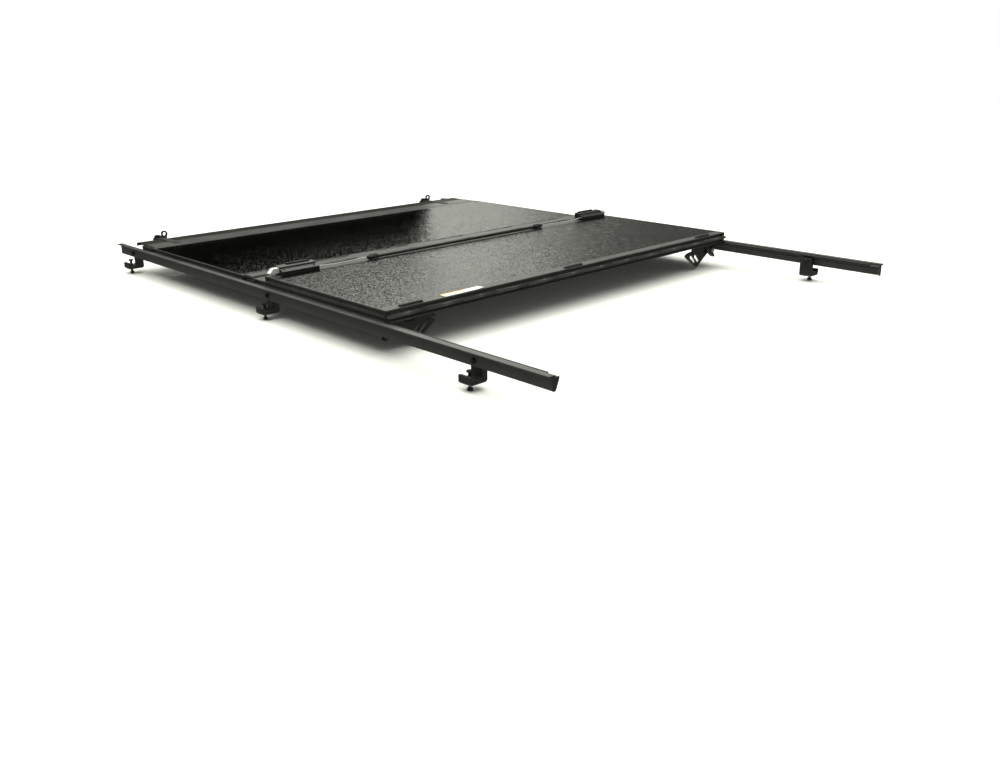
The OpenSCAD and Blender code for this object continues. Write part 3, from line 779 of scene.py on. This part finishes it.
def pan_screw(name, centre, normal, radius):
    """Pan-head screw with a cross recess."""
    head = place(name, screw_head_mesh(name, radius))
    cutter = place(name + "_cut", recess_mesh(name + "_cut", radius))
    cut = head.modifiers.new("recess", "BOOLEAN")
    cut.object = cutter
    cut.operation = "DIFFERENCE"
    cut.solver = "EXACT"
    cut.use_self = True         # the two bars overlap
    depsgraph = bpy.context.evaluated_depsgraph_get()
    mesh = bpy.data.meshes.new_from_object(head.evaluated_get(depsgraph))
    bpy.data.objects.remove(head)
    bpy.data.objects.remove(cutter)
    bm = bmesh.new()
    bm.from_mesh(mesh)
    bmesh.ops.remove_doubles(bm, verts=bm.verts, dist=2e-6)
    bmesh.ops.dissolve_degenerate(bm, dist=2e-6, edges=bm.edges)
    bm.to_mesh(mesh)
    bm.free()
    mesh.validate()
    turn = Vector((0, 0, 1)).rotation_difference(Vector(normal)).to_matrix().to_4x4()
    mesh.transform(Matrix.Translation(Vector(centre)) @ turn)
    mesh.materials.clear()
    mesh.materials.append(MATERIALS["black_fasteners"])
    return place(name, mesh)


# ----------------------------------------------------------------- release cable
def cable():
    """Seven-strand wire rope from each conduit end outward, with a slight sag, and a
    plain core through the conduit."""
    strand_radius = 0.00045
    lay_radius = 0.00083        # from the rope's centre to the outer strands
    lay_length = 0.011          # length of one full twist
    outer_strands = 6
    core_radius = 0.0012
    sag = 0.0026
    steps = 420
    lo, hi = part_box("release_cable")
    rope_y, rope_z = middle(lo.y, hi.y), middle(lo.z, hi.z)
    conduit_lo, conduit_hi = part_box("cable_conduit")
    bare_lo, bare_hi = conduit_lo.x + CONDUIT_INSET, conduit_hi.x - CONDUIT_INSET
    obs = []
    for side in SIDES:
        outer_x = side * hi.x
        inner_x = bare_hi - 0.004 if side > 0 else bare_lo + 0.004
        sag_start = conduit_hi.x if side > 0 else abs(conduit_lo.x)
        for strand in range(outer_strands + 1):
            rings = []
            for x in stations(outer_x, inner_x, steps):
                along = clamp((abs(x) - sag_start) / (LATCH_INNER_X - sag_start))
                y, z = rope_y, rope_z - sag * math.sin(math.pi * along)
                if strand < outer_strands:      # the last strand runs straight in the middle
                    phase = 2 * math.pi * (x / lay_length) + strand * math.pi / 3
                    y += lay_radius * math.cos(phase)
                    z += lay_radius * math.sin(phase)
                rings.append(ring_across_x(x, y, z, strand_radius, 6))
            obs.append(sweep("strand", rings, "steel_cable"))
    core = [ring_across_x(x, rope_y, rope_z, core_radius, 12)
            for x in (bare_lo + 0.002, bare_hi - 0.002)]
    obs.append(sweep("cable_core", core, "steel_cable"))
    ob = join(obs, "release_cable_wire")
    ride(ob, "rear_panel", "release_cable")


cable()


# ----------------------------------------------------------------- conduit clips
def clip_rib(clip_x, conduit_y, conduit_z):
    """Slanted rib bent over the top of the conduit."""
    bend_radius, rib_radius = 0.0079, 0.0014
    slant = 0.0052          # shift along X from the rib's middle to its side
    widen = 1.15            # width along X over thickness
    steps = 34
    rings = []
    for i in range(steps + 1):
        angle = math.radians(-28 + 236 * i / steps)
        x = clip_x - slant * math.cos(angle)
        rings.append([(x + u * widen,
                       conduit_y + (bend_radius + v) * math.cos(angle),
                       conduit_z + (bend_radius + v) * math.sin(angle))
                      for u, v in circle(rib_radius, 8)])
    return sweep("rib", rings, "black_plastic")


def clip_ribs():
    """Ribs and screws on each conduit clip, and the ferrule where the cable enters."""
    clip_half = 0.015           # from a clip's outer end to its middle
    rib_pitch = 0.0085
    screw_offset = 0.0105       # in y, either side of the conduit
    screw_rise = 0.0024
    ferrule_profile = [         # distance out from the conduit's end, radius
        (-0.0008, 0.0040), (0.0, 0.0043), (0.0045, 0.0043),
        (0.0062, 0.0030), (0.0090, 0.0024), (0.0094, 0.0015),
    ]
    conduit_lo, conduit_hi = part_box("cable_conduit")
    clips_lo, clips_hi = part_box("conduit_clips")
    cable_lo, cable_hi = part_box("release_cable")
    cable_y, cable_z = middle(cable_lo.y, cable_hi.y), middle(cable_lo.z, cable_hi.z)
    conduit_y = middle(conduit_lo.y, conduit_hi.y)
    conduit_z = middle(conduit_lo.z, conduit_hi.z)
    ends = (            # side, middle of the clip, end of the conduit
        (-1, clips_lo.x + clip_half, conduit_lo.x),
        (1, clips_hi.x - clip_half, conduit_hi.x),
    )
    obs = []
    for side, clip_x, end_x in ends:
        for offset in (-rib_pitch, 0.0, rib_pitch):
            obs.append(clip_rib(clip_x + offset, conduit_y, conduit_z))
        rings = [ring_across_x(end_x + side * out, cable_y, cable_z, radius, 16)
                 for out, radius in ferrule_profile]
        obs.append(sweep("ferrule", rings, "black_fasteners"))
        for dy in (-screw_offset, screw_offset):
            centre = (clip_x, conduit_y + dy, clips_lo.z + screw_rise)
            obs.append(pan_screw("clip_screw", centre, normal=(0, 0, 1), radius=0.0026))
    ob = join(obs, "conduit_clip_ribs")
    ride(ob, "rear_panel")


clip_ribs()


# ----------------------------------------------------------------- stow straps
STRAP_SPACING = 0.621       # from the pair's centre to each strap
STRAP_SHIFT = -0.024        # x of the pair's centre
STRAP_PATH = [              # y, z of the strap's centre line
    (-0.018, 0.0150), (0.000, 0.0151), (0.030, 0.0151), (0.060, 0.0151),
    (0.085, 0.0150), (0.100, 0.0148), (0.108, 0.0136), (0.114, 0.0110),
    (0.119, 0.0086), (0.124, 0.0073), (0.130, 0.0072), (0.135, 0.0072),
]
PATH_STEPS = 6              # points per span of the smoothed path
STRAP_HALF_WIDTH = 0.0125
STRAP_HALF_THICKNESS = 0.0008

STITCH_Z = 0.0160
STITCH_BOXES = ((-0.014, 0.012), (0.066, 0.088))    # y range of each sewn box
STITCH_BOX_HALF = 0.0095
STITCH_PITCH = 0.0022
STITCH_HALF_WIDTH = 0.0003
STITCH_HALF_HEIGHT = 0.0002
STITCH_TAPER = ((0.0, 0.3), (0.25, 1.0), (0.75, 1.0), (1.0, 0.3))   # share of length, thickness


def catmull_rom(a, b, c, d, t):
    return 0.5 * ((2 * b) + (-a + c) * t + (2 * a - 5 * b + 4 * c - d) * t * t
                  + (-a + 3 * b - 3 * c + d) * t ** 3)


def smooth_path(path):
    points = []
    last = len(path) - 1
    for i in range(last):
        near = (path[max(i - 1, 0)], path[i], path[i + 1], path[min(i + 2, last)])
        for k in range(PATH_STEPS):
            points.append(tuple(catmull_rom(*values, k / PATH_STEPS) for values in zip(*near)))
    points.append(path[-1])
    return points


def strap(side, centre_x):
    w, h = STRAP_HALF_WIDTH, STRAP_HALF_THICKNESS
    shoulder = w - 0.0006
    # across, off the path
    profile = [
        (-w, -h * 0.5), (-shoulder, -h), (0.0, -h * 1.05), (shoulder, -h), (w, -h * 0.5),
        (w, h * 0.5), (shoulder, h), (0.0, h * 1.05), (-shoulder, h), (-w, h * 0.5),
    ]
    points = smooth_path(STRAP_PATH)
    rings = []
    for i, (y, z) in enumerate(points):
        before, after = points[max(i - 1, 0)], points[min(i + 1, len(points) - 1)]
        along = Vector((after[0] - before[0], after[1] - before[1])).normalized()
        wave = ripple(0.0003, side * 3.0, y * 40.0)
        rings.append([(centre_x + across, y + off * -along.y, z + off * along.x + wave)
                      for across, off in profile])
    ob = sweep("strap", rings, "strap_webbing")
    crease(ob, 55)
    return ob


def stitches(centre_x, y0, y1):
    """Raised threads round a box and along its diagonals."""
    half = STITCH_BOX_HALF
    corners = [(-half, y0), (half, y0), (half, y1), (-half, y1),
               (-half, y0), (half, y1), (half, y0), (-half, y1)]
    threads = []
    for (ax, ay), (bx, by) in zip(corners, corners[1:]):
        count = max(2, int(math.hypot(bx - ax, by - ay) / STITCH_PITCH))
        for k in range(count):
            start, end = (
                Vector((centre_x + ax + (bx - ax) * u, ay + (by - ay) * u, STITCH_Z))
                for u in ((k + 0.12) / count, (k + 0.88) / count))
            along = (end - start).normalized()
            across = Vector((-along.y, along.x, 0))
            rings = []
            for share, thick in STITCH_TAPER:
                centre = start.lerp(end, share)
                ring = []
                for t in range(4):
                    angle = t * math.pi / 2
                    rise = STITCH_HALF_HEIGHT * thick * math.sin(angle)
                    ring.append(centre + across * STITCH_HALF_WIDTH * thick * math.cos(angle)
                                + Vector((0, 0, rise)))
                rings.append(ring)
            threads.append(rings)
    return sweep_all("stitches", threads, "strap_webbing")


def straps():
    """Woven straps from the header over the bulkhead seal to the buckles."""
    obs = []
    for side in SIDES:
        centre_x = side * STRAP_SPACING + STRAP_SHIFT
        obs.append(strap(side, centre_x))
        for y0, y1 in STITCH_BOXES:
            obs.append(stitches(centre_x, y0, y1))
    ob = join(obs, "stow_straps_webbing")
    ride(ob, "bed_frame", "stow_straps")


straps()


# ----------------------------------------------------------------- latches
def latch_spring(side):
    """Coil spring with its end turns closed up."""
    wire = 0.0004           # wire radius
    turns, steps_per_turn = 8, 24
    end_share = 0.06        # share of the coil closed up at each end
    creep = 0.08            # share of the advance spread evenly, closed ends included
    hand = "right" if side > 0 else "left"
    node = "latch_spring_" + hand
    lo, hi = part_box(node)
    y, z = middle(lo.y, hi.y), middle(lo.z, hi.z)
    inner, outer = sorted((abs(lo.x), abs(hi.x)))
    coil = (hi.z - lo.z) / 2 - wire
    steps = turns * steps_per_turn
    rings = []
    for i in range(steps + 1):
        u = i / steps
        opened = clamp((u - end_share) / (1 - 2 * end_share))
        angle = 2 * math.pi * turns * u
        advance = creep * u + (1 - creep) * opened
        x = side * (inner + wire + (outer - inner - 2 * wire) * advance)
        rings.append([(x + side * v, y + (coil + w) * math.cos(angle),
                       z + (coil + w) * math.sin(angle)) for w, v in circle(wire, 8)])
    ob = sweep(node + "_coil", rings, "steel")
    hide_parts(node)
    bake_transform(ob)


def latch_screws():
    """Two screws on each latch housing."""
    lo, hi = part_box("latch_housings")
    y, z = hi.y - 0.032, lo.z + 0.0168
    screws = []
    for side in SIDES:
        for outward in (0.012, 0.112):
            centre = (side * (LATCH_INNER_X + outward), y, z)
            screws.append(pan_screw("latch_screw", centre, normal=(0, -0.30, 0.95),
                                    radius=0.0032))
    ob = join(screws, "latch_housing_screws")
    ride(ob, "rear_panel")


for side in SIDES:
    latch_spring(side)
latch_screws()


# ----------------------------------------------------------------- stage
def floor_material():
    """Pale to the camera and fading to white far out, dark to other rays, clear from below."""
    material = bpy.data.materials.new("floor_pale")
    material.use_nodes = True
    g = Graph(material.node_tree)
    output = g.put("ShaderNodeOutputMaterial")
    pale = g.put("ShaderNodeBsdfDiffuse", {"Color": tone(0.90)}).outputs[0]
    white = g.put("ShaderNodeEmission", {"Color": tone(1), "Strength": 1.0}).outputs[0]
    geometry = g.put("ShaderNodeNewGeometry").outputs
    distance = g.put("ShaderNodeVectorMath", {0: geometry["Position"]}, operation="LENGTH")
    fade = g.ramp(distance.outputs["Value"], lo=1.8, hi=9.0)
    seen = g.mix_shader(fade, pale, white)
    dark = g.put("ShaderNodeBsdfDiffuse", {"Color": tone(0.20)}).outputs[0]
    camera_ray = g.put("ShaderNodeLightPath").outputs["Is Camera Ray"]
    above = g.mix_shader(camera_ray, dark, seen)
    clear = g.put("ShaderNodeBsdfTransparent").outputs[0]
    both = g.mix_shader(geometry["Backfacing"], above, clear)
    g.tree.links.new(both, output.inputs[0])
    return material


def studio_floor():
    half, gap = 60.0, 0.0005
    z = CAD_BOX[0][2] - gap
    mesh = bpy.data.meshes.new("studio_floor")
    corners = [(-half, -half, z), (half, -half, z), (half, half, z), (-half, half, z)]
    mesh.from_pydata(corners, [], [(0, 1, 2, 3)])
    floor = place("studio_floor", mesh)
    mesh.materials.append(floor_material())
    floor.visible_shadow = False
    floor.visible_glossy = False


def dark_card():
    """Dark card where a cab's rear window stands: seen only in reflections."""
    y, lean = 0.21, 0.06
    bottom, top = 0.015, 0.52
    mesh = bpy.data.meshes.new("dark_card")
    mesh.from_pydata([(-1.1, y, bottom), (0.70, y, bottom),
                      (0.68, y + lean, top), (-1.0, y + lean, top)], [], [(0, 1, 2, 3)])
    card = place("dark_card", mesh)
    black = bpy.data.materials.new("card_black")
    black.use_nodes = True
    inputs = black.node_tree.nodes["Principled BSDF"].inputs
    inputs["Base Color"].default_value = tone(0.003)
    inputs["Roughness"].default_value = 1.0
    inputs["Specular IOR Level"].default_value = 0.0
    mesh.materials.append(black)
    card.visible_camera = False
    card.visible_shadow = False
    card.visible_diffuse = False


def studio_world():
    """White to the camera; soft patches of light by direction for everything else."""
    world = bpy.data.worlds.new("studio")
    bpy.context.scene.world = world
    world.use_nodes = True
    g = Graph(world.node_tree)

    def rises(value, lo, hi):
        return g.ramp(value, lo=lo, hi=hi)

    def falls(value, lo, hi):
        return g.math("SUBTRACT", 1.0, rises(value, lo, hi))

    def span(value, rise, fall):
        return g.mul(rises(value, *rise), falls(value, *fall))

    # directions in degrees: azimuth 0 is +Y and 90 is +X
    direction = g.put("ShaderNodeTexCoord").outputs["Generated"]
    xyz = g.put("ShaderNodeSeparateXYZ", {0: direction}).outputs
    azimuth = g.mul(g.math("ARCTAN2", xyz[0], xyz[1]), 180 / math.pi)
    height = g.mul(g.math("ARCSINE", xyz[2]), 180 / math.pi)

    strength = {"dome": 3.2, "roof": 1.7, "band": 1.55, "back": 0.13, "side": 0.18,
                "below": 0.26, "astern": 0.24, "everywhere": 0.03}
    # overhead
    dome = g.mul(rises(height, 40.0, 62.0), strength["dome"])
    # patch high on the +Y side
    roof = g.mul(span(azimuth, rise=(-60.0, -10.0), fall=(42.0, 49.0)), rises(height, 17.0, 26.0))
    roof = g.mul(roof, g.mul(falls(height, 42.0, 60.0), strength["roof"]))
    dome = g.add(dome, roof)
    # narrow upright band between +Y and +X
    band = g.mul(span(azimuth, rise=(30.0, 36.0), fall=(44.5, 50.0)),
                 span(height, rise=(0.0, 14.0), fall=(26.0, 46.0)))
    # broad wall over the +Y and +X sides
    back = g.mul(span(azimuth, rise=(-30.0, 10.0), fall=(120.0, 170.0)), rises(height, -6.0, 4.0))
    # the -X side
    side = g.mul(falls(azimuth, -80.0, -40.0), rises(height, 0.0, 20.0))
    # under the horizon
    below = g.mul(falls(height, -9.0, -1.0), strength["below"])
    dome = g.add(dome, below)
    # the -Y side
    astern = g.mul(rises(g.math("ABSOLUTE", azimuth), 105.0, 135.0),
                   span(height, rise=(2.0, 14.0), fall=(45.0, 65.0)))
    dome = g.add(dome, g.mul(astern, strength["astern"]))
    walls = g.add(g.mul(back, strength["back"]),
                  g.add(g.mul(side, strength["side"]), strength["everywhere"]))
    total = g.add(g.add(dome, g.mul(band, strength["band"])), walls)

    light = g.put("ShaderNodeBackground", {0: (0.985, 1.0, 0.90, 1), 1: total}).outputs[0]
    seen = g.put("ShaderNodeBackground", {0: tone(1), 1: 1.0}).outputs[0]
    camera_ray = g.put("ShaderNodeLightPath").outputs["Is Camera Ray"]
    g.put("ShaderNodeOutputWorld", {0: g.mix_shader(camera_ray, light, seen)})


def area_light(name, at, target, size, power):
    """Square soft light aimed at the target."""
    light = bpy.data.lights.new(name, "AREA")
    light.shape = "RECTANGLE"
    light.size = size
    light.size_y = size
    light.energy = power
    ob = place(name, light)
    ob.location = at
    aim = Vector(target) - Vector(at)
    ob.rotation_euler = aim.to_track_quat("-Z", "Y").to_euler()
    ob.visible_camera = False


def camera():
    data = bpy.data.cameras.new("camera")
    data.sensor_fit = "HORIZONTAL"
    data.sensor_width = 36.0
    data.lens = 34.03
    data.clip_start = 0.05
    data.clip_end = 200.0
    ob = bpy.data.objects.new("camera", data)
    # the camera's own axes, squared up on its right-hand one
    right = Vector((0.7145, -0.6996, -0.0068)).normalized()
    back = Vector((-0.6577, -0.6750, 0.3343))
    back = (back - right * back.dot(right)).normalized()
    up = back.cross(right)
    matrix = Matrix((right, up, back)).transposed().to_4x4()
    matrix.translation = Vector((-2.130, -3.143, 0.631))
    ob.matrix_world = matrix
    bpy.context.scene.collection.objects.link(ob)
    bpy.context.scene.camera = ob


studio_floor()
dark_card()
studio_world()
area_light("key_overhead", at=(0.2, -0.6, 3.4), target=(0, -0.8, 0), size=2.6, power=14)
area_light("under_fill", at=(0.0, -0.9, -2.6), target=(0, -0.9, 0), size=3.0, power=60)
camera()

view = bpy.context.scene.view_settings
view.view_transform = "Standard"
view.look = "None"
view.exposure = 0.0
view.gamma = 1.0
